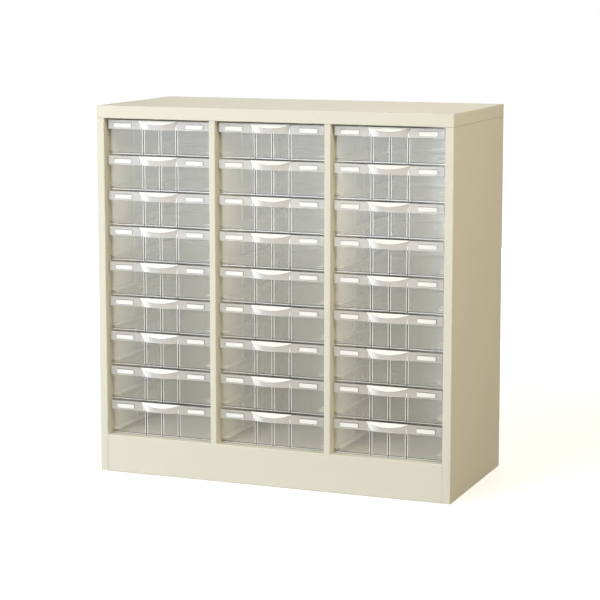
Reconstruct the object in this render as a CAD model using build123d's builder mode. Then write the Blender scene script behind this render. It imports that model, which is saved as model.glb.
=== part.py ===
from build123d import *
from math import sqrt
import os

# Steel floor cabinet with three columns of clear drawers.
# The origin is the centre of its footprint, on the floor. +Z is up, the drawers face -Y, and +X is
# to the right as one looks at them. Sizes are in millimetres.

# Cabinet
cabinet_width = 880.0
cabinet_depth = 400.0
cabinet_height = 880.0
columns = 3
rows = 9
cap_height = 30.0
kick_height = 90.0
stile_width = 20.0
stile_return = 14.0
divider_width = 15.0

# Folded sheet steel
sheet = 1.0
bend_radius = 2.0
rear_stile_width = 15.0
side_flange = 14.0
liner_setback = 4.0
liner_flange = 15.0
cap_lip = 20.0
kick_ledge = 24.0
kick_foot = 15.0
kick_seam = 0.2
floor_flange = 15.0
floor_setback = 0.5
back_recess = 3.0
back_side_gap = 1.0
base_channel_width = 40.0
base_channel_setback = 1.0
stiffener_width = 30.0
stiffener_height = 15.0
stiffener_flange = 12.0
weld_gap = 0.2

# Back screws
screw_radius = 2.0
screw_length = 6.0
screw_head_radius = 3.8
screw_head_height = 1.8
screw_hole_clearance = 0.2
screws_per_post = 5
screw_end_distance = 60.0

# Rails
rail_flange = 16.0
rail_leg = 10.0
rail_top = 11.0
rail_rear_gap = 3.0
rail_stop_reach = 5.0
rail_stop_length = 10.0

# Drawer tray
tray_side_gap = 5.0
tray_foot_gap = 0.5
tray_row_gap = 2.0
tray_head_gap = 4.0
tray_rear_space = 20.0
tray_wall = 2.0
tray_rim_drop = 5.5
tray_corner_radius = 5.0
ledge_width = 18.0
slide_clearance = 0.3
stop_clearance = 0.5
open_engagement = 105.0
lug_width = 6.0
lug_height = 4.0
lug_length = 8.0

# Band across the drawer's front, and its grip
band_recess = 13.0
band_height = 21.5
eave_depth = 9.5
grip_top_width = 103.0
grip_bottom_width = 81.0
grip_bulge = 12.5
awning_drop = 11.5
card_width = 44.0
card_height = 9.5
card_offset = 92.5
card_below_band_top = 12.2
pocket_clearance = 2.5
pocket_depth = 0.8

# Partition slots, each between two thin ribs
rib_thickness = 1.2
rib_depth = 3.0
slot_width = 5.5
long_slots = 3
long_slot_pitch = 43.0
cross_slots = 3
first_cross_slot = 118.0
cross_slot_pitch = 60.5

# Places worked out from the sizes above
front_y = -cabinet_depth / 2
back_y = cabinet_depth / 2
side_x = cabinet_width / 2
body_top = cabinet_height - cap_height
stile_x = side_x - stile_width
liner_x = stile_x + sheet
back_outer_y = back_y - back_recess
back_inner_y = back_outer_y - sheet
post_rear_y = back_inner_y - sheet
kick_top_under = kick_height - sheet
opening_width = (2 * stile_x - (columns - 1) * divider_width) / columns
column_pitch = opening_width + divider_width
column_xs = [(i - (columns - 1) / 2) * column_pitch for i in range(columns)]
divider_xs = [x + column_pitch / 2 for x in column_xs[:-1]]
lowest_tray = kick_height + tray_foot_gap
row_pitch = (body_top - tray_head_gap + tray_row_gap - lowest_tray) / rows
row_zs = [lowest_tray + (rows - 1 - i) * row_pitch for i in range(rows)]

# Drawer places, from the middle of the opening, the cabinet's front and the tray's underside
tray_half = opening_width / 2 - tray_side_gap
tub_half = tray_half - ledge_width
tray_back = cabinet_depth - tray_rear_space
wall_front = band_recess + eave_depth
wall_inner = wall_front + tray_wall
ledge_under = rail_top + slide_clearance
ledge_over = ledge_under + tray_wall
band_top = row_pitch - tray_row_gap
band_bottom = band_top - band_height
rim_top = band_top - tray_rim_drop
rail_front = wall_inner + stop_clearance
rail_back = cabinet_depth - back_recess - 2 * sheet - rail_rear_gap
travel = tray_back - rail_front - open_engagement
lug_front = rail_front + rail_stop_length + travel + stop_clearance

# Grip arcs: one radius, whose centre leans back towards the foot of the grip
grip_radius = ((grip_top_width / 2) ** 2 + grip_bulge**2) / (2 * grip_bulge)
grip_top_centre = band_recess - grip_bulge + grip_radius
grip_bottom_centre = band_recess + sqrt(grip_radius**2 - (grip_bottom_width / 2) ** 2)
awning_slope = awning_drop / grip_bulge
awning_thickness = tray_wall * sqrt(1 + awning_slope**2)

screw_pitch = (body_top - kick_height - 2 * screw_end_distance) / (screws_per_post - 1)
screw_zs = [kick_height + screw_end_distance + i * screw_pitch for i in range(screws_per_post)]
screw_xs = [-(stile_x - liner_flange / 2), *divider_xs, stile_x - liner_flange / 2]


def fold(plane, *points, side=Side.LEFT):
    """Section of a folded sheet: the line of one face, with the metal on the given side of it."""
    with BuildSketch(plane) as section:
        with BuildLine():
            FilletPolyline(*points, radius=bend_radius)
            offset(amount=sheet, side=side)
        make_face()
    return section.sketch


def mirrored(piece):
    """The same piece for the other side of the cabinet."""
    with BuildPart() as other:
        mirror(piece.part, about=Plane.YZ)
    return other


def save(piece, name):
    """Labels a finished piece and writes it."""
    piece.part.label = name
    export_step(piece.part, f"parts/{name}.step")


def block(low, high, mode=Mode.ADD):
    """A box between two opposite corners, in the part being built."""
    middle = tuple((a + b) / 2 for a, b in zip(low, high))
    with Locations(middle):
        Box(*(b - a for a, b in zip(low, high)), mode=mode)


def left_side_panel():
    """Outer skin of the left side, with its front stile, rear stile and two plain flanges."""
    with BuildPart() as panel:
        section = fold(
            Plane.XY,
            (-side_x + rear_stile_width, back_y),
            (-side_x, back_y),
            (-side_x, front_y),
            (-stile_x, front_y),
            (-stile_x, front_y + stile_return),
        )
        extrude(section, amount=body_top)
        for z in (0, body_top - sheet):
            block(
                (-side_x + sheet / 2, front_y + bend_radius, z),
                (-side_x + sheet + side_flange, back_y - bend_radius, z + sheet),
            )
    return panel


def left_liner():
    """Inner skin of the left side, which carries the rails and takes the back panel's screws."""
    with BuildPart() as liner:
        section = fold(
            Plane.XY.offset(kick_top_under),
            (-liner_x, front_y + liner_setback),
            (-liner_x, post_rear_y),
            (-liner_x + sheet + liner_flange, post_rear_y),
        )
        extrude(section, amount=body_top - kick_top_under)
        screw_holes(-stile_x + liner_flange / 2)
    return liner


def screw_holes(x):
    """A column of holes for the back screws, through all the sheets there."""
    with BuildSketch(Plane.XZ.offset(-back_y)) as holes:
        with Locations(*[(x, z) for z in screw_zs]):
            Circle(screw_radius + screw_hole_clearance)
    extrude(holes.sketch, amount=back_y - post_rear_y + bend_radius, mode=Mode.SUBTRACT)


def divider(x):
    """Upright box between two columns, folded from one sheet that meets itself in a slit at the rear."""
    depth = back_inner_y - front_y
    with BuildPart() as post:
        with BuildSketch(Plane.XY.offset(kick_top_under)):
            with Locations((x, front_y + depth / 2)):
                RectangleRounded(divider_width, depth, bend_radius)
                RectangleRounded(
                    divider_width - 2 * sheet,
                    depth - 2 * sheet,
                    bend_radius - sheet,
                    mode=Mode.SUBTRACT,
                )
            with Locations((x + divider_width / 2 - bend_radius - weld_gap / 2, back_inner_y)):
                Rectangle(weld_gap, 2 * bend_radius, mode=Mode.SUBTRACT)
        extrude(amount=body_top - kick_top_under)
        block(
            (x - divider_width, front_y, kick_top_under),
            (x + divider_width, front_y + kick_ledge + weld_gap, kick_height),
            mode=Mode.SUBTRACT,
        )
        screw_holes(x)
    return post


def top_cap():
    """Lid with a fascia all round and a lip turned in under it."""
    with BuildPart() as cap:
        with BuildSketch(Plane.XY.offset(body_top)):
            Rectangle(cabinet_width, cabinet_depth)
        extrude(amount=cap_height)
        fillet(cap.edges(), bend_radius)
        with BuildSketch(Plane.XY.offset(body_top + sheet)):
            RectangleRounded(cabinet_width - 2 * sheet, cabinet_depth - 2 * sheet, bend_radius - sheet)
        extrude(amount=cap_height - 2 * sheet, mode=Mode.SUBTRACT)
        with BuildSketch(Plane.XY.offset(body_top)):
            Rectangle(cabinet_width - 2 * cap_lip, cabinet_depth - 2 * cap_lip)
        extrude(amount=sheet, mode=Mode.SUBTRACT)
    return cap


def top_stiffener():
    """Hat channel under the middle of the lid, from side to side."""
    half = stiffener_width / 2
    over = cabinet_height - sheet
    under = over - stiffener_height
    length = cabinet_width - 2 * bend_radius
    with BuildPart() as channel:
        section = fold(
            Plane.YZ.offset(-length / 2),
            (-half - stiffener_flange, over),
            (-half, over),
            (-half, under),
            (half, under),
            (half, over),
            (half + stiffener_flange, over),
            side=Side.RIGHT,
        )
        extrude(section, amount=length)
    return channel


def kick_plate():
    """Front of the base, between the stiles, folded back at its head and its foot."""
    half = stile_x - kick_seam
    with BuildPart() as plate:
        section = fold(
            Plane.YZ.offset(-half),
            (front_y + kick_ledge, kick_height),
            (front_y, kick_height),
            (front_y, 0),
            (front_y + kick_foot, 0),
        )
        extrude(section, amount=2 * half)
    return plate


def floor_panel():
    """Floor under the lowest drawers, with a flange down each side."""
    edge = side_x - sheet
    start = front_y + stile_return + floor_setback
    with BuildPart() as panel:
        section = fold(
            Plane.XZ.offset(-start),
            (-edge, kick_top_under - floor_flange),
            (-edge, kick_top_under),
            (edge, kick_top_under),
            (edge, kick_top_under - floor_flange),
            side=Side.RIGHT,
        )
        extrude(section, amount=start - back_inner_y)
    return panel


def base_channels():
    """Channels that stand under the floor panel, below each divider."""
    half = base_channel_width / 2
    start = front_y + kick_foot + base_channel_setback
    with BuildPart() as channels:
        for x in divider_xs:
            section = fold(
                Plane.XZ.offset(-start),
                (x - half, 0),
                (x - half, kick_top_under - sheet),
                (x + half, kick_top_under - sheet),
                (x + half, 0),
                side=Side.RIGHT,
            )
            extrude(section, amount=start - back_inner_y)
    return channels


def back_panel():
    """Flat rear sheet, set in a little from the rear stiles."""
    half = side_x - rear_stile_width - back_side_gap
    with BuildPart() as panel:
        block((-half, back_inner_y, 0), (half, back_outer_y, body_top))
        for x in screw_xs:
            screw_holes(x)
    return panel


def back_screws():
    """Pan head screws through the back panel into the liners and dividers."""
    with BuildPart() as screws:
        with BuildSketch(Plane.XZ.offset(-back_outer_y)):
            with Locations(*[(x, z) for x in screw_xs for z in screw_zs]):
                Circle(screw_head_radius)
        extrude(amount=-screw_head_height)
        with BuildSketch(Plane.XZ.offset(-back_outer_y)):
            with Locations(*[(x, z) for x in screw_xs for z in screw_zs]):
                Circle(screw_radius)
        extrude(amount=screw_length)
    return screws


def left_rail():
    """One rail for a drawer's left ledge, from the face it is welded to. A wide front end is the stop."""
    with BuildPart() as rail:
        block((0, rail_front, rail_top - sheet), (rail_flange, rail_back, rail_top))
        block((0, rail_front, rail_top - rail_leg), (sheet, rail_back, rail_top))
        block(
            (0, rail_front, rail_top - sheet),
            (rail_flange + rail_stop_reach, rail_front + rail_stop_length, rail_top),
        )
    return rail


def rail_set(rail, seat_x):
    """The rails of one side of a column, one in each row."""
    with BuildPart() as rails:
        with Locations(*[(seat_x, front_y, z) for z in row_zs]):
            add(rail.part)
    return rails


def tray_section(inset):
    """Stepped section across the tray. An inset of a wall gives its hollow."""
    half = tray_half - inset
    step = tub_half - inset
    bottom = inset
    shoulder = ledge_under + inset
    with BuildSketch(Plane.XZ.offset(-wall_front - inset)) as section:
        with BuildLine():
            Polyline(
                (-half, rim_top),
                (-half, shoulder),
                (-step, shoulder),
                (-step, bottom),
                (step, bottom),
                (step, shoulder),
                (half, shoulder),
                (half, rim_top),
                close=True,
            )
        make_face()
    return section.sketch


def grip_solid(radius, chord_y, top, ceiling_drop):
    """Bulge of the grip in front of a chord, with its sloping roof cut off."""
    heights = (band_bottom, grip_bottom_centre), (band_top, grip_top_centre)
    with BuildPart() as grip:
        for z, centre_y in heights:
            with BuildSketch(Plane.XY.offset(z)):
                with Locations((0, centre_y)):
                    Circle(radius)
                with Locations((0, chord_y - grip_radius)):
                    Rectangle(grip_top_width, 2 * grip_radius, mode=Mode.INTERSECT)
        loft(ruled=True)
        with BuildSketch(Plane.YZ.offset(-grip_top_width / 2)):
            with BuildLine():
                Polyline(
                    (chord_y, top),
                    (band_recess - grip_bulge, top - awning_drop - ceiling_drop),
                    (band_recess - grip_bulge, band_top),
                    (chord_y, band_top),
                    close=True,
                )
            make_face()
        extrude(amount=grip_top_width, mode=Mode.SUBTRACT)
    return grip.part


def drawer_tray():
    """One clear moulding: stepped tub, front wall, band that hangs before it, and grip."""
    length = tray_back - wall_front
    card_z = band_top - card_below_band_top
    band_inner = band_recess + tray_wall
    with BuildPart() as tray:
        extrude(tray_section(0), amount=-length)
        rear_corners = tray.edges().filter_by(Axis.Z).group_by(Axis.Y)[-1]
        fillet(rear_corners, tray_corner_radius)
        extrude(tray_section(tray_wall), amount=-(length - 2 * tray_wall), mode=Mode.SUBTRACT)
        block((-tray_half, wall_front, 0), (tray_half, wall_inner, band_top))
        block((-tray_half, band_recess, band_bottom), (tray_half, wall_front, band_top))
        block(
            (-tray_half + tray_wall, band_inner, band_bottom),
            (tray_half - tray_wall, wall_front, band_top - tray_wall),
            mode=Mode.SUBTRACT,
        )
        add(grip_solid(grip_radius, band_recess, band_top, 0))
        add(
            grip_solid(grip_radius - tray_wall, band_inner, band_top - tray_wall, awning_thickness),
            mode=Mode.SUBTRACT,
        )
        for x in (-card_offset, card_offset):
            with BuildSketch(Plane.XZ.offset(-band_recess)):
                with Locations((x, card_z)):
                    Rectangle(card_width + pocket_clearance, card_height + pocket_clearance)
            extrude(amount=-pocket_depth, mode=Mode.SUBTRACT)
        for x in long_rib_xs():
            for y in (wall_inner, tray_back - tray_wall - rib_depth):
                block((x, y, tray_wall), (x + rib_thickness, y + rib_depth, rim_top))
        for y in cross_rib_ys():
            for x in (-tray_half + tray_wall, tray_half - tray_wall - rib_depth):
                block((x, y, ledge_over), (x + rib_depth, y + rib_thickness, rim_top))
        for x in (-tub_half - lug_width, tub_half):
            block(
                (x, lug_front, ledge_under - lug_height),
                (x + lug_width, lug_front + lug_length, ledge_over),
            )
    return tray


def rib_pair(middle):
    """The low sides of the two ribs of a slot."""
    return [middle - slot_width / 2 - rib_thickness / 2, middle + slot_width / 2 - rib_thickness / 2]


def long_rib_xs():
    """Ribs on the front and rear walls."""
    middles = [(i - (long_slots - 1) / 2) * long_slot_pitch for i in range(long_slots)]
    return [x for middle in middles for x in rib_pair(middle)]


def cross_rib_ys():
    """Ribs on the side walls, counted from the front wall."""
    middles = [wall_front + first_cross_slot + i * cross_slot_pitch for i in range(cross_slots)]
    return [y for middle in middles for y in rib_pair(middle)]


os.makedirs("parts", exist_ok=True)
side_panel = left_side_panel()
save(side_panel, "left_side_panel")
save(mirrored(side_panel), "right_side_panel")
liner = left_liner()
save(liner, "left_liner")
save(mirrored(liner), "right_liner")
for number, x in enumerate(divider_xs, start=1):
    save(divider(x), f"divider_{number}")
save(top_cap(), "top_cap")
save(top_stiffener(), "top_stiffener")
save(kick_plate(), "kick_plate")
save(floor_panel(), "floor_panel")
save(base_channels(), "base_channels")
save(back_panel(), "back_panel")
save(back_screws(), "back_screws")

rail = left_rail()
opposite_rail = mirrored(rail)
tray = drawer_tray()
for column, x in enumerate(column_xs, start=1):
    left_seat = -liner_x if column == 1 else x - opening_width / 2
    right_seat = liner_x if column == columns else x + opening_width / 2
    save(rail_set(rail, left_seat), f"rails_c{column}_left")
    save(rail_set(opposite_rail, right_seat), f"rails_c{column}_right")
    for row, z in enumerate(row_zs, start=1):
        with BuildPart() as drawer:
            with Locations((x, front_y, z)):
                add(tray.part, clean=False)
        save(drawer, f"tray_c{column}_r{row}")
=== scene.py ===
import math

import bmesh
import bpy
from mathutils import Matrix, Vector


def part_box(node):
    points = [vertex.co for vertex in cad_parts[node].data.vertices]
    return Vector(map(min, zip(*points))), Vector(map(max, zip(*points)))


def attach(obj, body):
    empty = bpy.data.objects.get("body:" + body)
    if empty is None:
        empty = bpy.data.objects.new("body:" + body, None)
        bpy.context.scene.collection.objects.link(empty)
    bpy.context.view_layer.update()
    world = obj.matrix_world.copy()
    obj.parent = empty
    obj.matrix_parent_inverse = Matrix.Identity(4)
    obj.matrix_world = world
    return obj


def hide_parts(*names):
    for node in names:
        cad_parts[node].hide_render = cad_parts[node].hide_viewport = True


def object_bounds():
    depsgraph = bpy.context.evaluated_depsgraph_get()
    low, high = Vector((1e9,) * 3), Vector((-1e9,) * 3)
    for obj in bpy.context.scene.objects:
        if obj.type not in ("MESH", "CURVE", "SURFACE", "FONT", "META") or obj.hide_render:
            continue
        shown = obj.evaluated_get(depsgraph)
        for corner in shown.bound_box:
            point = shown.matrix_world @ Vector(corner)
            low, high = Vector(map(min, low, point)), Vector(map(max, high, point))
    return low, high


# Looks of the steel floor cabinet and its clear drawers. Lengths are in metres, in the frame's own axes:
# +Z up, -Y out of the drawer fronts, +X to the right as one faces them.

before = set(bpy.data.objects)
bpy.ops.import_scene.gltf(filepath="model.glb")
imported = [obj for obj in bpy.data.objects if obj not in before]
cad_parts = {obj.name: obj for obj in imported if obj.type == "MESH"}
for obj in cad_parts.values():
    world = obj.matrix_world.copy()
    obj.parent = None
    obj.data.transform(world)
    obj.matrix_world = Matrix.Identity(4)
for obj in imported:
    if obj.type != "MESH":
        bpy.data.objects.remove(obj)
CAD_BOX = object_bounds()
FRONT_Y = CAD_BOX[0].y

CELLS = [f"c{column}_r{row}" for row in range(1, 10) for column in range(1, 4)]
COLUMN_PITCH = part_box("tray_c2_r1")[0].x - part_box("tray_c1_r1")[0].x
LOWEST_TRAY, LOWEST_TRAY_TOP = (corner.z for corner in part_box("tray_c1_r9"))
ROW_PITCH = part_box("tray_c1_r8")[0].z - LOWEST_TRAY

# A drawer's sizes. Depths are from the cabinet's front, heights from the drawer's underside
BAND_RECESS = 0.013
BAND_HEIGHT = 0.0215
WALL_FRONT = 0.0225
WALL = 0.002
RIB_DEPTH = 0.003
SLOT_PITCH = 0.043
SLOT_WIDTH = 0.0055
LEDGE_TOP = 0.0133
POCKET_SIZE = (0.0465, 0.012)
POCKET_DEPTH = 0.0008
# POCKET_SHADOW_LINE is the width of the painted shadow line along a pocket's edge
POCKET_SHADOW_LINE = 0.0013
# GRIP_HIGHLIGHT_SPAN is where the painted highlight at a grip's left end fades in, measured left of the
# grip's middle
GRIP_HIGHLIGHT_SPAN = (0.012, 0.044)
EDGE_ROUND = 0.0004
EDGE_ANGLE = math.radians(32)
NEAR = 0.0001
SAME_POINT = 1e-6

# How a face is told by its normal: it looks along an axis from STRAIGHT on, it is upright below UPRIGHT
# along Z, and the slope over the grip lies between the two of SLOPE along Z and below SLOPE_FRONT along Y
STRAIGHT = 0.9
UPRIGHT = 0.5
SLOPE = (0.5, 0.95)
SLOPE_FRONT = -0.3

# Label cards, which lie low and to the left in their pockets
CARD_SIZE = (0.044, 0.0003, 0.0095)
CARD_OFFSET = 0.0925
CARD_DROP = 0.0122
CARD_SLIP = 0.0009

# Painted highlight and painted shade lines for what each rib, slot and the floor's edge show in a clear
# wall:
# half widths across, and for the lines along a drawer's lowest edge their middle over its underside with
# their half height
# RIB_HIGHLIGHT_LINE is a painted highlight line, and SLOT_SHADE_LINE and RIB_AND_SHADE give painted shade
# lines
RIB_HIGHLIGHT_LINE = 0.0009
RIB_AND_SHADE = 1.7 * RIB_HIGHLIGHT_LINE
SLOT_SHADE_LINE = 0.0013
# FOOT_HIGHLIGHT and REAR_FOOT_HIGHLIGHT are painted highlight lines, FOOT_SHADE_OVER and FOOT_SHADE_UNDER
# painted shade lines
FOOT_HIGHLIGHT = (0.00198, 0.00108)
FOOT_SHADE_OVER = (0.00396, 0.0009)
FOOT_SHADE_UNDER = (0.0, 0.0009)
REAR_FOOT_HIGHLIGHT = (0.0009, 0.00126)
DRAWN_PITCH = 0.0115
DRAWN_LINE = 0.1 * DRAWN_PITCH

# Back screws: pan heads with a cross recess. DOME_SPREAD, CROSS_MIDDLE and SHANK_IN_HEAD are shares of
# the head's radius, the head's height and the shank's length. For clean Booleans the dome's sides don't
# line up with the pan's, and CROSS_STEP lifts one bar of the cross over the other
SCREW_XS = (-0.4125, -0.1425, 0.1425, 0.4125)
SCREW_ZS = [0.150 + 0.160 * step for step in range(5)]
SCREW_SEAT_Y = CAD_BOX[1].y - 0.003
HEAD_RADIUS = 0.0038
HEAD_HEIGHT = 0.0018
SHANK_RADIUS = 0.002
SHANK_LENGTH = 0.006
DOME_SPREAD = 1.16
CROSS_SIZE = (0.0042, 0.0009, 0.0018)
CROSS_MIDDLE = 1.05
CROSS_STEP = 0.00012
SHANK_IN_HEAD = 0.05
CUT_BLOCK = 0.02
PAN_SIDES = 32
DOME_SIDES = 36
DOME_RINGS = 25
SHANK_SIDES = 24
CROSS_SEED = 7

# Textures: how wide the steel's edges are worn, and the plastic's ripples and scuffs
EDGE_WEAR = 0.004
FLOW_SCALE = 38.0
FLOW_DEPTH = 0.0015
SCUFF_SCALE = 320.0
SCUFF_ROUGHNESS = 0.05

# Clear walls that one line of sight may pass, and how much less they dim light than the view
CLEAR_LAYERS = 48
SHADE_LOSS = 0.85

# Camera, fitted to the cabinet's corners in the photograph
CAMERA_PLACE = (1.7379, -4.4075, 1.1657)
CAMERA_YAW = -0.3761
CAMERA_PITCH = -0.1398
FOCAL_PIXELS = 2000.0
IMAGE_PIXELS = 600.0
SENSOR_WIDTH = 36.0
HORIZON_SHIFT = -0.06
SIGHT_END = 60.0

# Studio
FLOOR_REACH = 14.0
FLOOR_FADE = (1.0, 3.0)
ROOM_STRENGTH = 0.27
COOL_LIGHT = (0.90, 0.96, 1.0)
WARM_LIGHT = (1.0, 0.96, 0.86)
FILL_LIGHT = (1.0, 0.89, 0.64)
SOFT_BOXES = (
    # name, place, target, side, watts, colour
    ("key_light", (-1.3, -3.3, 3.1), (0, -0.1, 0.5), 2.0, 56, COOL_LIGHT),
    ("low_light", (-1.2, -4.0, 0.95), (0, 0, 0.5), 2.2, 56, COOL_LIGHT),
    ("left_light", (-3.2, -1.6, 0.9), (0, -0.2, 0.45), 1.9, 50, COOL_LIGHT),
    ("warm_fill", (2.6, -1.2, 2.0), (0.44, 0, 0.6), 0.9, 35, FILL_LIGHT),
    ("back_light", (-1.2, 3.8, 1.1), (0, 0.2, 0.4), 2.0, 84, WARM_LIGHT),
)


def linear(red, green, blue):
    """A colour read as sRGB bytes, as the linear colour that a shader takes."""
    def one(value):
        share = value / 255
        return share / 12.92 if share <= 0.04045 else ((share + 0.055) / 1.055) ** 2.4
    return (one(red), one(green), one(blue), 1.0)


IVORY = linear(231, 228, 216)
IVORY_CLOUD = linear(228, 224, 211)
IVORY_WORN = linear(240, 237, 226)
CLEAR_TINT = linear(222, 220, 210)
REAR_TINT = linear(228, 225, 216)
PANE_TINT = linear(206, 202, 188)
# Painted shade for slot lines and for the slot sides of a rib
SLOT_SHADE_TINT = linear(92, 94, 92)
# Painted highlight on rounded edges
EDGE_HIGHLIGHT_TINT = linear(214, 216, 214)
# Painted highlight lines
LINE_HIGHLIGHT_TINT = linear(250, 250, 250)
BAND_TINT = linear(208, 204, 201)
# Painted shade on the band's top
BAND_TOP_SHADE_TINT = linear(52, 51, 47)
GRIP_TINT = linear(232, 228, 227)
# Frosted white, also a painted highlight on the grip's slope and left end
FROST_AND_HIGHLIGHT_WHITE = linear(254, 254, 254)
# Painted shadow line in the pockets
POCKET_SHADOW_TINT = linear(78, 77, 72)
# Painted highlight on rib faces
RIB_HIGHLIGHT_TINT = linear(252, 252, 252)
# Painted highlight on the ledge's top
LEDGE_HIGHLIGHT_TINT = linear(255, 254, 246)
CARD_WHITE = linear(254, 254, 254)
CARD_SHADE = linear(250, 250, 249)
ZINC = linear(196, 196, 190)
WHITE = (1.0, 1.0, 1.0, 1.0)
BLACK = (0.0, 0.0, 0.0, 1.0)
ROOM_LIGHT = (1.0, 0.90, 0.72, 1.0)
FLOOR_BOUNCE = (0.42, 0.39, 0.34, 1.0)
FLOOR_SEEN = (0.78, 0.78, 0.78, 1.0)
FLOOR_SEEN_GRAIN = (0.82, 0.82, 0.82, 1.0)
FLOOR_GLOW = (0.55, 0.55, 0.55, 1.0)


class Value:
    """A shader socket whose maths is written with Python's operators."""

    def __init__(self, shader, socket):
        self.shader = shader
        self.socket = socket

    def _math(self, operation, *terms):
        return self.shader.node("ShaderNodeMath", {"operation": operation}, dict(enumerate(terms)))

    def __add__(self, other):
        return self._math("ADD", self, other)

    __radd__ = __add__

    def __sub__(self, other):
        return self._math("SUBTRACT", self, other)

    def __rsub__(self, other):
        return self._math("SUBTRACT", other, self)

    def __mul__(self, other):
        return self._math("MULTIPLY", self, other)

    __rmul__ = __mul__

    def __pow__(self, other):
        return self._math("POWER", self, other)

    def __lt__(self, other):
        return self._math("LESS_THAN", self, other)

    def __abs__(self):
        return self._math("ABSOLUTE", self)

    def wrapped(self, period):
        """The distance from the nearest whole number of periods, from minus half to plus half of one."""
        return self._math("WRAP", self, period / 2, -period / 2)

    def stripe(self, middle, half_width, period):
        """1 within half_width of middle, and of every place a whole number of periods from it, else 0."""
        return abs((self - middle).wrapped(period)) < half_width

    def rise(self, start, end):
        """Smooth rise from 0 at start to 1 at end."""
        values = {"Value": self, "From Min": start, "From Max": end}
        return self.shader.node("ShaderNodeMapRange", {"interpolation_type": "SMOOTHSTEP"}, values)


def either(first, second):
    """1 where one mask or the other is 1."""
    return 1 - (1 - first) * (1 - second)


class Shader:
    """A material under construction, with one method for every node."""

    def __init__(self, name):
        self.material = bpy.data.materials.new(name)
        self.material.use_nodes = True
        self.tree = self.material.node_tree
        self.surface = self.tree.nodes["Principled BSDF"]

    def node(self, kind, settings=None, values=None, output=0):
        """A node with its settings, then its sockets' values or links. Returns one output."""
        made = self.tree.nodes.new(kind)
        for key, setting in (settings or {}).items():
            setattr(made, key, setting)
        for key, value in (values or {}).items():
            self.feed(made.inputs[key], value)
        return Value(self, made.outputs[output])

    def feed(self, socket, value):
        """Links a Value to a socket, or sets a plain number or colour on it."""
        if isinstance(value, Value):
            self.tree.links.new(value.socket, socket)
        else:
            socket.default_value = value

    def finish(self, **sockets):
        """Feeds the surface's sockets, named with _ for a space, and returns the material."""
        for key, value in sockets.items():
            self.feed(self.surface.inputs[key.replace("_", " ")], value)
        return self.material

    def place(self):
        """The place on the surface, in the frame's own axes."""
        return self.node("ShaderNodeTexCoord", output="Object")

    def axis(self, name):
        """One coordinate of the place on the surface."""
        return self.node("ShaderNodeSeparateXYZ", {}, {"Vector": self.place()}, output=name)

    def noise(self, scale, detail=2.0, roughness=0.5):
        values = {"Vector": self.place(), "Scale": scale, "Detail": detail, "Roughness": roughness}
        return self.node("ShaderNodeTexNoise", {"noise_dimensions": "3D"}, values)

    def mix(self, factor, first, second):
        """The first colour where the factor is 0 and the second where it is 1."""
        values = {"Factor": factor, 6: first, 7: second}
        return self.node("ShaderNodeMix", {"data_type": "RGBA"}, values, output=2)

    def bump(self, height, strength, distance):
        values = {"Height": height, "Strength": strength, "Distance": distance}
        return self.node("ShaderNodeBump", {}, values)

    def ray(self, kind):
        """1 for one kind of ray and 0 for the others."""
        return self.node("ShaderNodeLightPath", output=f"Is {kind} Ray")

    def seen(self):
        """1 for the camera's rays and for those that leave gloss or glass, 0 for the rest."""
        return either(either(self.ray("Camera"), self.ray("Glossy")), self.ray("Transmission"))


class Plastic(Shader):
    """Clear moulded plastic as thin walls, with faint ripples from its flow into the mould."""

    def __init__(self, name):
        super().__init__(name)
        self.flow = self.noise(FLOW_SCALE, detail=1.0)

    def scuffed(self, roughness):
        """This roughness with fine scuffs."""
        return roughness + SCUFF_ROUGHNESS * self.noise(SCUFF_SCALE, detail=3.0)

    def edge_on(self):
        """0 where a surface faces the eye, with a late rise to 1 where it is seen edge on."""
        return self.node("ShaderNodeLayerWeight", {}, {"Blend": 0.5}, output="Facing") ** 3.0

    def finish_clear(self, alpha, ripple=0.03, **sockets):
        """Finishes the material. Alpha is how much a face hides, and it dims the light less than that."""
        return self.finish(
            Alpha=alpha * (1 - SHADE_LOSS * self.ray("Shadow")),
            Normal=self.bump(self.flow, ripple, FLOW_DEPTH),
            **sockets,
        )


def powder_coat():
    """Satin ivory powder coat: fine orange peel, a faint cloudiness, and edges rubbed a little smoother."""
    shader = Shader("ivory_powder_coat")
    peel = shader.noise(650.0, detail=3.0)
    cloud = shader.noise(5.0, detail=2.0)
    rub = shader.noise(42.0, detail=4.0, roughness=0.7)
    side_x, top_z = CAD_BOX[1].x, CAD_BOX[1].z
    near_side = abs(shader.axis("X")).rise(side_x - EDGE_WEAR, side_x)
    near_front = abs(shader.axis("Y")).rise(-FRONT_Y - EDGE_WEAR, -FRONT_Y)
    near_top = shader.axis("Z").rise(top_z - EDGE_WEAR, top_z)
    edges = near_side * near_front + near_side * near_top + near_front * near_top
    worn = edges * rub.rise(0.45, 0.7)
    coat = shader.mix(cloud, IVORY, IVORY_CLOUD)
    return shader.finish(
        Base_Color=shader.mix(worn, coat, IVORY_WORN),
        Roughness=0.64 + 0.10 * peel - 0.12 * worn,
        Specular_IOR_Level=0.25,
        Normal=shader.bump(peel, 0.12, 0.0004),
    )


def clear_plastic(name, tint, alpha, roughness=0.12, ripple=0.02, edge_on=0.0, coat_ior=1.5):
    """Plain clear plastic. It hides edge_on more where it is seen edge on."""
    plastic = Plastic(name)
    return plastic.finish_clear(
        alpha + edge_on * plastic.edge_on(),
        ripple,
        Base_Color=tint,
        Roughness=plastic.scuffed(roughness),
        Coat_Weight=1.0,
        Coat_Roughness=0.03,
        Coat_IOR=coat_ior,
    )


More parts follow.
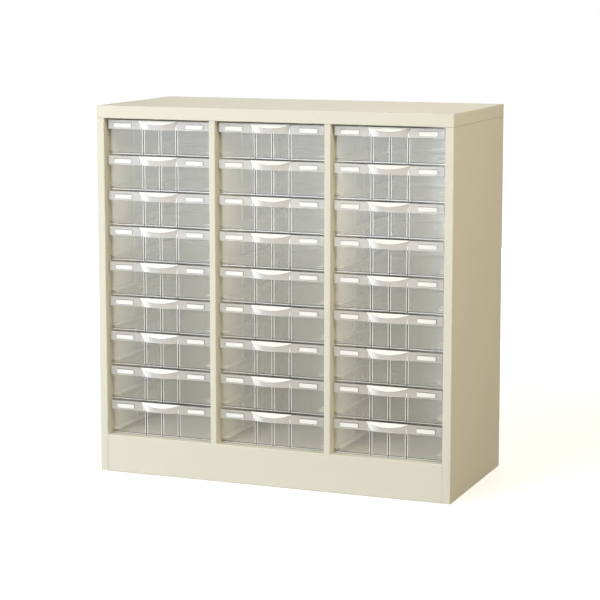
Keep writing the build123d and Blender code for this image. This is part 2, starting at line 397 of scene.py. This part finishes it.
def slot_lines(shader):
    """Painted highlight lines where each rib of a wall shows through it, with painted shade lines on either
    side and in the middle of each slot.
    """
    across = shader.axis("X").wrapped(COLUMN_PITCH)
    in_reach = abs(across) < 1.5 * SLOT_PITCH
    from_slot = abs(across.wrapped(SLOT_PITCH))
    from_rib = abs(from_slot - SLOT_WIDTH / 2)
    # Painted highlight where each rib shows, painted shade beside it and in the middle of each slot
    rib_highlight = from_rib < RIB_HIGHLIGHT_LINE
    beside_shade = (from_rib < RIB_AND_SHADE) - rib_highlight
    slot_shade = from_slot < SLOT_SHADE_LINE
    return rib_highlight * in_reach, either(beside_shade, slot_shade) * in_reach


def foot_line(shader, over_underside, half_height):
    """A level line in every row of drawers, this high over their undersides."""
    return shader.axis("Z").stripe(LOWEST_TRAY + over_underside, half_height, ROW_PITCH)


def clear_pane():
    """Front wall of a drawer. Its ribs and the edge of the floor show through it as painted highlight and
    painted shade lines.
    """
    plastic = Plastic("clear_pane")
    rib_highlight, slot_shade = slot_lines(plastic)
    foot_highlight, shade_over_foot, shade_under_foot = (
        foot_line(plastic, *line) for line in (FOOT_HIGHLIGHT, FOOT_SHADE_OVER, FOOT_SHADE_UNDER)
    )
    # Painted highlight lines and painted shade lines on the pane
    light = either(rib_highlight, foot_highlight)
    shade_lines = either(slot_shade, shade_over_foot + shade_under_foot)
    return plastic.finish_clear(
        0.23 + 0.60 * rib_highlight + 0.26 * foot_highlight + 0.44 * shade_lines,
        Base_Color=plastic.mix(shade_lines, plastic.mix(light, PANE_TINT, LINE_HIGHLIGHT_TINT), SLOT_SHADE_TINT),
        Roughness=plastic.scuffed(0.05),
        Coat_Weight=1.0 - 0.9 * either(shade_lines, rib_highlight),
        Coat_Roughness=0.28,
        Coat_IOR=2.9,
    )


def rear_wall():
    """Rear wall of a drawer, with fine drawn lines across it and a painted highlight line where the floor
    ends.
    """
    plastic = Plastic("rear_wall")
    drawn = plastic.axis("Z").stripe(LOWEST_TRAY, DRAWN_LINE, DRAWN_PITCH)
    # Painted highlight line where the floor ends
    foot_highlight = foot_line(plastic, *REAR_FOOT_HIGHLIGHT)
    return plastic.finish_clear(
        0.30 + 0.08 * drawn + 0.35 * foot_highlight,
        Base_Color=plastic.mix(foot_highlight, REAR_TINT, LINE_HIGHLIGHT_TINT),
        Roughness=0.08 + 0.04 * plastic.flow,
        Coat_Weight=1.0,
        Coat_Roughness=0.1,
        Coat_IOR=2.4,
    )


def clear_band():
    """Band across a drawer's front, thick enough to look milky. Each rib behind it shows faintly as a
    painted highlight line, and it hides less along the painted shade line of each slot.
    """
    plastic = Plastic("clear_band")
    rib_highlight, slot_shade = slot_lines(plastic)
    return plastic.finish_clear(
        0.60 + 0.18 * rib_highlight - 0.15 * slot_shade,
        Base_Color=plastic.mix(rib_highlight, BAND_TINT, LINE_HIGHLIGHT_TINT),
        Roughness=0.12 + 0.05 * plastic.flow,
        Coat_Weight=0.5,
        Coat_Roughness=0.06,
    )


def clear_grip():
    """Bulge of the grip, with a painted highlight: near-opaque white towards its left end."""
    plastic = Plastic("clear_grip")
    # Painted highlight towards the left end
    left_highlight = (0 - plastic.axis("X").wrapped(COLUMN_PITCH)).rise(*GRIP_HIGHLIGHT_SPAN)
    return plastic.finish_clear(
        0.55 + 0.39 * left_highlight,
        ripple=0.02,
        Base_Color=plastic.mix(left_highlight, GRIP_TINT, FROST_AND_HIGHLIGHT_WHITE),
        Roughness=0.12 + 0.05 * plastic.flow + 0.3 * left_highlight,
        Coat_Weight=1.0 - left_highlight,
        Coat_Roughness=0.03,
    )


def pocket_floor():
    """Bottom of a card pocket: the band's own tint, with a painted shadow line along the pocket's edge,
    where its wall stands.
    """
    plastic = Plastic("pocket_floor")
    from_card = abs(plastic.axis("X").wrapped(COLUMN_PITCH)) - CARD_OFFSET
    from_middle = (plastic.axis("Z") - (LOWEST_TRAY_TOP - CARD_DROP)).wrapped(ROW_PITCH)
    inside_x = abs(from_card) < POCKET_SIZE[0] / 2 - POCKET_SHADOW_LINE
    inside_z = abs(from_middle) < POCKET_SIZE[1] / 2 - POCKET_SHADOW_LINE
    # Painted shadow line along the pocket's edge
    rim_shadow = 1 - inside_x * inside_z
    return plastic.finish_clear(
        0.5 + 0.35 * rim_shadow,
        Base_Color=plastic.mix(rim_shadow, BAND_TINT, POCKET_SHADOW_TINT),
        Roughness=0.15 + 0.05 * plastic.flow,
        Coat_Weight=1.0,
        Coat_Roughness=0.05,
    )


def frosted_highlight_plastic():
    """Fine spark-eroded texture on the slope of the grip, which scatters the light. Its near-opaque white
    is partly a painted highlight.
    """
    shader = Shader("frosted_highlight_plastic")
    grain = shader.noise(2600.0, detail=2.0)
    return shader.finish(
        Base_Color=FROST_AND_HIGHLIGHT_WHITE,
        Alpha=0.98,
        Roughness=0.35 + 0.2 * grain,
        Normal=shader.bump(grain, 0.2, 0.0002),
    )


def card_paper():
    """Smooth white card with a faint fibre."""
    shader = Shader("white_card")
    fibre = shader.noise(1400.0, detail=4.0, roughness=0.7)
    return shader.finish(
        Base_Color=shader.mix(fibre, CARD_WHITE, CARD_SHADE),
        Roughness=0.85 + 0.1 * fibre,
        Normal=shader.bump(fibre, 0.15, 0.0001),
    )


def zinc_plate():
    """Bright zinc plating on the screws."""
    shader = Shader("zinc_plate")
    grain = shader.noise(900.0, detail=3.0)
    return shader.finish(
        Base_Color=ZINC,
        Metallic=1.0,
        Roughness=0.28 + 0.2 * grain,
        Normal=shader.bump(grain, 0.1, 0.0001),
    )


def dress(node, material):
    """Gives a CAD node one material."""
    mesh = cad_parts[node].data
    mesh.materials.clear()
    mesh.materials.append(material)


def new_piece(name, mesh):
    """A finished mesh as an object at the origin."""
    mesh.name = name
    piece = bpy.data.objects.new(name, mesh)
    bpy.context.scene.collection.objects.link(piece)
    return piece


def flattened(piece):
    """The piece with its modifiers turned into plain mesh."""
    bpy.context.view_layer.update()
    evaluated = piece.evaluated_get(bpy.context.evaluated_depsgraph_get())
    mesh = bpy.data.meshes.new_from_object(evaluated)
    piece.modifiers.clear()
    old = piece.data
    piece.data = mesh
    bpy.data.meshes.remove(old)
    return piece


CLEAR, EDGE_HIGHLIGHT, PANE, BAND, GRIP, FROST_AND_HIGHLIGHT, POCKET, LIT_RIB, SHADED_SLOT_SIDE, CROSS_RIB, LIT_LEDGE, REAR, SHADED_BAND_TOP = range(13)


def tray_materials():
    """The finishes of a tray, in the order of the names above."""
    return [
        clear_plastic("clear_wall", CLEAR_TINT, 0.08, 0.06, ripple=0.04, edge_on=0.25, coat_ior=1.9),
        # Painted highlight on the rounded edges
        clear_plastic("clear_edge_highlight", EDGE_HIGHLIGHT_TINT, 0.45),
        clear_pane(),
        clear_band(),
        clear_grip(),
        frosted_highlight_plastic(),
        pocket_floor(),
        # Lit and shaded copies of the rib plastic: a painted highlight on rib faces, painted shade on their
        # sides in a slot, and a painted highlight on each cross rib of the side walls
        clear_plastic("lit_rib_side", RIB_HIGHLIGHT_TINT, 0.10),
        clear_plastic("shaded_slot_side", SLOT_SHADE_TINT, 0.45),
        clear_plastic("lit_cross_rib", RIB_HIGHLIGHT_TINT, 0.60),
        # Painted highlight: the ledge's top is near-opaque white
        clear_plastic("lit_ledge_top", LEDGE_HIGHLIGHT_TINT, 0.95, 0.10, ripple=0.03, coat_ior=2.0),
        rear_wall(),
        # Painted shade on the band's top, deepest where it is seen edge on
        clear_plastic("shaded_band_top", BAND_TOP_SHADE_TINT, 0.22, 0.10, edge_on=0.85),
    ]


def is_near(value, target):
    """Whether two lengths are the same, apart from rounding."""
    return abs(value - target) < NEAR


def band_finish(normal, depth):
    """Finish of a face in the band: a pocket, the grip's frosted slope (partly a painted highlight) or
    bulge, the top (painted shade), or the band itself.
    """
    if normal.y < -STRAIGHT and is_near(depth, BAND_RECESS + POCKET_DEPTH):
        return POCKET
    # The grip's slope: frosted, and partly a painted highlight
    if SLOPE[0] < normal.z < SLOPE[1] and normal.y < SLOPE_FRONT:
        return FROST_AND_HIGHLIGHT
    # The band's top gets painted shade
    if normal.z > SLOPE[1]:
        return SHADED_BAND_TOP
    if depth < BAND_RECESS - NEAR:
        return GRIP
    return BAND


def rib_finish(across, normal):
    """Finish of a rib's face: the faces inside a slot get painted shade, the others a painted highlight."""
    from_slot = (across + SLOT_PITCH / 2) % SLOT_PITCH - SLOT_PITCH / 2
    inside = normal.x * from_slot < 0 and abs(normal.x) > STRAIGHT
    return SHADED_SLOT_SIDE if inside else LIT_RIB


def tray_finish(face, low, high):
    """Which finish a face of the tray has, from where it lies in the tray's box."""
    normal = face.normal
    centre = face.calc_center_median()
    across = centre.x - (low.x + high.x) / 2
    depth = centre.y - FRONT_Y
    height = centre.z - low.z
    tray_depth = high.y - FRONT_Y
    side = (high.x - low.x) / 2 - WALL
    if depth < WALL_FRONT - NEAR and centre.z > high.z - BAND_HEIGHT - NEAR:
        return band_finish(normal, depth)
    if is_near(depth, WALL_FRONT) and normal.y < -STRAIGHT:
        return PANE
    at_front = WALL_FRONT + WALL < depth < WALL_FRONT + WALL + RIB_DEPTH + NEAR
    at_rear = tray_depth - WALL - RIB_DEPTH - NEAR < depth < tray_depth - WALL
    at_side = side - RIB_DEPTH - NEAR < abs(across) < side
    upright = abs(normal.z) < UPRIGHT
    if (at_front or at_rear) and upright and abs(across) < 2 * SLOT_PITCH:
        return rib_finish(across, normal)
    if at_side and upright and height > LEDGE_TOP:
        return CROSS_RIB
    # The ledge's top gets a painted highlight
    if is_near(height, LEDGE_TOP) and normal.z > STRAIGHT:
        return LIT_LEDGE
    if depth > tray_depth - WALL - NEAR and abs(normal.y) > STRAIGHT:
        return REAR
    return CLEAR


def rounded_tray(node, materials):
    """The tray's own solid with its edges rounded, which is where clear plastic catches the light. The
    rounded faces get a painted highlight.
    """
    low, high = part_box(node)
    shape = bmesh.new()
    shape.from_mesh(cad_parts[node].data)
    bmesh.ops.remove_doubles(shape, verts=shape.verts, dist=SAME_POINT)
    bmesh.ops.recalc_face_normals(shape, faces=shape.faces)
    for face in shape.faces:
        face.material_index = tray_finish(face, low, high)
        face.smooth = False
    mesh = bpy.data.meshes.new(node)
    shape.to_mesh(mesh)
    shape.free()
    for material in materials:
        mesh.materials.append(material)
    piece = new_piece("clear_" + node, mesh)
    round_over = piece.modifiers.new("round_over", "BEVEL")
    round_over.width = EDGE_ROUND
    round_over.segments = 1
    round_over.limit_method = "ANGLE"
    round_over.angle_limit = EDGE_ANGLE
    # The rounded faces get the painted highlight
    round_over.material = EDGE_HIGHLIGHT
    return flattened(piece)


def make_trays():
    """Clear drawers in place of their plain solids."""
    materials = tray_materials()
    for cell in CELLS:
        node = f"tray_{cell}"
        tray = rounded_tray(node, materials)
        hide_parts(node)
        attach(tray, f"drawer_{cell}")


class Recipe:
    """A Geometry Nodes tree under construction, with one method for every node."""

    def __init__(self, name, **inputs):
        self.tree = bpy.data.node_groups.new(name, "GeometryNodeTree")
        self.keys = {}
        interface = self.tree.interface
        interface.new_socket("Places", in_out="INPUT", socket_type="NodeSocketGeometry")
        for label, kind in inputs.items():
            socket = interface.new_socket(label, in_out="INPUT", socket_type=f"NodeSocket{kind}")
            self.keys[label] = socket.identifier
        interface.new_socket("Geometry", in_out="OUTPUT", socket_type="NodeSocketGeometry")
        self.given = self.tree.nodes.new("NodeGroupInput")
        self.result = self.tree.nodes.new("NodeGroupOutput")

    def input(self, label):
        return self.given.outputs[label]

    def node(self, kind, settings=None, values=None, output=0):
        """A node with its settings, then its sockets' values or links. Returns one output."""
        made = self.tree.nodes.new(kind)
        for key, setting in (settings or {}).items():
            setattr(made, key, setting)
        for key, value in (values or {}).items():
            if isinstance(value, list):
                for one in value:
                    self.tree.links.new(one, made.inputs[key])
            elif isinstance(value, bpy.types.NodeSocket):
                self.tree.links.new(value, made.inputs[key])
            else:
                made.inputs[key].default_value = value
        return made.outputs[output]

    def times(self, value, factor):
        return self.node("ShaderNodeMath", {"operation": "MULTIPLY"}, {0: value, 1: factor})

    def vector(self, **parts):
        """A vector with these parts along X, Y or Z, and 0 along the rest."""
        return self.node("ShaderNodeCombineXYZ", {}, parts)

    def cube(self, size):
        return self.node("GeometryNodeMeshCube", {}, {"Size": size})

    def cylinder(self, sides, radius, height):
        values = {"Vertices": sides, "Radius": radius, "Depth": height}
        return self.node("GeometryNodeMeshCylinder", {}, values)

    def moved(self, geometry, **change):
        """The geometry with a Translation, Rotation or Scale."""
        return self.node("GeometryNodeTransform", {}, {"Geometry": geometry, **change})

    def boolean(self, operation, others, base=None):
        """Exact Boolean of closed meshes. A difference takes the others away from the base."""
        values = {"Mesh 2": others}
        if base is not None:
            values["Mesh 1"] = base
        return self.node("GeometryNodeMeshBoolean", {"operation": operation, "solver": "EXACT"}, values)

    def instances(self, points, instance, **values):
        values = {"Points": points, "Instance": instance, **values}
        return self.node("GeometryNodeInstanceOnPoints", {}, values)

    def end(self, geometry, material):
        """Realizes the instances, sets the material and closes the tree."""
        real = self.node("GeometryNodeRealizeInstances", {}, {"Geometry": geometry})
        painted = self.node("GeometryNodeSetMaterial", {}, {"Geometry": real, "Material": material})
        self.tree.links.new(painted, self.result.inputs["Geometry"])

    def make(self, name, places=(), **values):
        """Runs the tree on these places with these input values. Returns the result as a plain piece."""
        mesh = bpy.data.meshes.new(name)
        mesh.from_pydata(list(places), [], [])
        piece = new_piece(name, mesh)
        modifier = piece.modifiers.new("recipe", "NODES")
        modifier.node_group = self.tree
        for label, value in values.items():
            modifier[self.keys[label]] = value
        return flattened(piece)


def card_recipe(material):
    """The two label cards of one drawer."""
    recipe = Recipe("label_cards", Size="Vector", Offset="Float", Middle="Vector")
    reach = recipe.input("Offset")
    start = recipe.vector(X=recipe.times(reach, -1.0))
    ends = {"Count": 2, "Start Location": start, "Offset": recipe.vector(X=reach)}
    line = recipe.node("GeometryNodeMeshLine", {"mode": "END_POINTS"}, ends)
    cards = recipe.instances(line, recipe.cube(recipe.input("Size")))
    recipe.end(recipe.moved(cards, Translation=recipe.input("Middle")), material)
    return recipe


def make_cards(paper):
    """Label cards of every drawer."""
    recipe = card_recipe(paper)
    card_y = FRONT_Y + BAND_RECESS + POCKET_DEPTH - CARD_SIZE[1] / 2 - NEAR / 2
    for cell in CELLS:
        low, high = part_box(f"tray_{cell}")
        pair = recipe.make(
            f"label_cards_{cell}",
            Size=CARD_SIZE,
            Offset=CARD_OFFSET,
            Middle=((low.x + high.x) / 2 - CARD_SLIP, card_y, high.z - CARD_DROP - CARD_SLIP),
        )
        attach(pair, f"drawer_{cell}")


def screw_head(recipe):
    """A pan head on the XY plane: a cylinder within a flattened dome, less the cross recess."""
    radius, height = recipe.input("Head_Radius"), recipe.input("Head_Height")
    wide = recipe.times(radius, DOME_SPREAD)
    round_shape = {"Segments": DOME_SIDES, "Rings": DOME_RINGS, "Radius": 1.0}
    ball = recipe.node("GeometryNodeMeshUVSphere", {}, round_shape)
    dome = recipe.moved(ball, Scale=recipe.vector(X=wide, Y=wide, Z=height))
    body = recipe.cylinder(PAN_SIDES, radius, recipe.times(height, 2.0))
    pan = recipe.boolean("INTERSECT", [body, dome])
    lift = recipe.vector(Z=recipe.times(height, CROSS_MIDDLE))
    bar = recipe.moved(recipe.cube(CROSS_SIZE), Translation=lift)
    crossbar = recipe.moved(bar, Rotation=(0, 0, math.pi / 2), Translation=(0, 0, CROSS_STEP))
    cross = recipe.boolean("UNION", [bar, crossbar])
    below = recipe.moved(recipe.cube((CUT_BLOCK,) * 3), Translation=(0, 0, -CUT_BLOCK / 2))
    return recipe.boolean("DIFFERENCE", [below, cross], base=pan)


def screw_shank(recipe):
    """The shank under the XY plane, which reaches a little into the head so that the two join."""
    radius, length = recipe.input("Shank_Radius"), recipe.input("Shank_Length")
    shank = recipe.cylinder(SHANK_SIDES, radius, recipe.times(length, 1 + SHANK_IN_HEAD))
    sink = recipe.vector(Z=recipe.times(length, (SHANK_IN_HEAD - 1) / 2))
    return recipe.moved(shank, Translation=sink)


def screw_recipe(material):
    """A screw at each place, its head towards +Y and its recess turned at random."""
    recipe = Recipe(
        "pan_head_screws",
        Head_Radius="Float",
        Head_Height="Float",
        Shank_Radius="Float",
        Shank_Length="Float",
        Seed="Int",
    )
    whole = recipe.boolean("UNION", [screw_head(recipe), screw_shank(recipe)])
    screw = recipe.moved(whole, Rotation=(-math.pi / 2, 0, 0))
    turns = {2: 0.0, 3: math.pi / 2, "Seed": recipe.input("Seed")}
    turn = recipe.node("FunctionNodeRandomValue", {"data_type": "FLOAT"}, turns, output=1)
    screws = recipe.instances(recipe.input("Places"), screw, Rotation=recipe.vector(Y=turn))
    recipe.end(screws, material)
    return recipe


def make_screws(zinc):
    """Screws of the back panel in place of their plain solids."""
    screws = screw_recipe(zinc).make(
        "pan_head_screws",
        places=[(x, SCREW_SEAT_Y, z) for x in SCREW_XS for z in SCREW_ZS],
        Head_Radius=HEAD_RADIUS,
        Head_Height=HEAD_HEIGHT,
        Shank_Radius=SHANK_RADIUS,
        Shank_Length=SHANK_LENGTH,
        Seed=CROSS_SEED,
    )
    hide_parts("back_screws")
    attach(screws, "cabinet")


class Surroundings(Shader):
    """The world's nodes, built with the same method as a material's."""

    def __init__(self, name):
        world = bpy.data.worlds.new(name)
        bpy.context.scene.world = world
        world.use_nodes = True
        self.tree = world.node_tree
        self.tree.nodes.clear()


def studio_room():
    """White for the eye, and a weak warm light on the object."""
    room = Surroundings("studio_room")
    white = room.node("ShaderNodeBackground", {}, {"Color": WHITE, "Strength": 1.0})
    light = room.node("ShaderNodeBackground", {}, {"Color": ROOM_LIGHT, "Strength": ROOM_STRENGTH})
    both = room.node("ShaderNodeMixShader", {}, {0: room.seen(), 1: light, 2: white})
    end = room.tree.nodes.new("ShaderNodeOutputWorld")
    room.feed(end.inputs["Surface"], both)


def pale_floor():
    """Floor paint. For the eye it is white with a soft shadow, and whiter the farther off it lies."""
    shader = Shader("pale_floor")
    grain = shader.noise(60.0)
    seen = shader.seen()
    length = {"operation": "LENGTH"}
    away = shader.node("ShaderNodeVectorMath", length, {0: shader.place()}, output="Value")
    glow = shader.mix(away.rise(*FLOOR_FADE), FLOOR_GLOW, WHITE)
    return shader.finish(
        Base_Color=shader.mix(seen, FLOOR_BOUNCE, shader.mix(grain, FLOOR_SEEN, FLOOR_SEEN_GRAIN)),
        Roughness=0.9,
        Specular_IOR_Level=0.0,
        Emission_Color=shader.mix(seen, BLACK, glow),
        Emission_Strength=1.0,
    )


def studio_floor():
    """Plain square floor just under the object's feet."""
    reach, level = FLOOR_REACH, CAD_BOX[0].z - 2 * NEAR
    corners = [(-reach, -reach), (reach, -reach), (reach, reach), (-reach, reach)]
    mesh = bpy.data.meshes.new("floor")
    mesh.from_pydata([(x, y, level) for x, y in corners], [], [(0, 1, 2, 3)])
    mesh.materials.append(pale_floor())
    new_piece("floor", mesh)


def soft_box(name, place, target, side, watts, colour):
    """A square studio light that looks at a target."""
    data = bpy.data.lights.new(name, "AREA")
    data.shape = "SQUARE"
    data.size = side
    data.energy = watts
    data.color = colour
    lamp = bpy.data.objects.new(name, data)
    bpy.context.scene.collection.objects.link(lamp)
    lamp.location = place
    lamp.rotation_mode = "QUATERNION"
    lamp.rotation_quaternion = (Vector(target) - lamp.location).to_track_quat("-Z", "Y")


def studio():
    """Floor, surroundings and soft lights."""
    scene = bpy.context.scene
    scene.view_settings.view_transform = "Standard"
    scene.cycles.transparent_max_bounces = CLEAR_LAYERS
    studio_room()
    studio_floor()
    for light in SOFT_BOXES:
        soft_box(*light)


def camera():
    """Camera at the photograph's viewing angle. Yaw turns it about Z from +Y, pitch lifts it."""
    data = bpy.data.cameras.new("photo_camera")
    data.sensor_width = SENSOR_WIDTH
    data.lens = SENSOR_WIDTH * FOCAL_PIXELS / IMAGE_PIXELS
    data.shift_y = HORIZON_SHIFT
    data.clip_end = SIGHT_END
    view = bpy.data.objects.new("photo_camera", data)
    bpy.context.scene.collection.objects.link(view)
    view.location = CAMERA_PLACE
    view.rotation_euler = (math.pi / 2 + CAMERA_PITCH, 0, -CAMERA_YAW)
    bpy.context.scene.camera = view


def main():
    """Dresses the steel, remakes screws and drawers with their cards, and sets the studio."""
    coat = powder_coat()
    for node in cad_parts:
        if not node.startswith("tray_"):
            dress(node, coat)
    make_screws(zinc_plate())
    make_trays()
    make_cards(card_paper())
    studio()
    camera()


main()
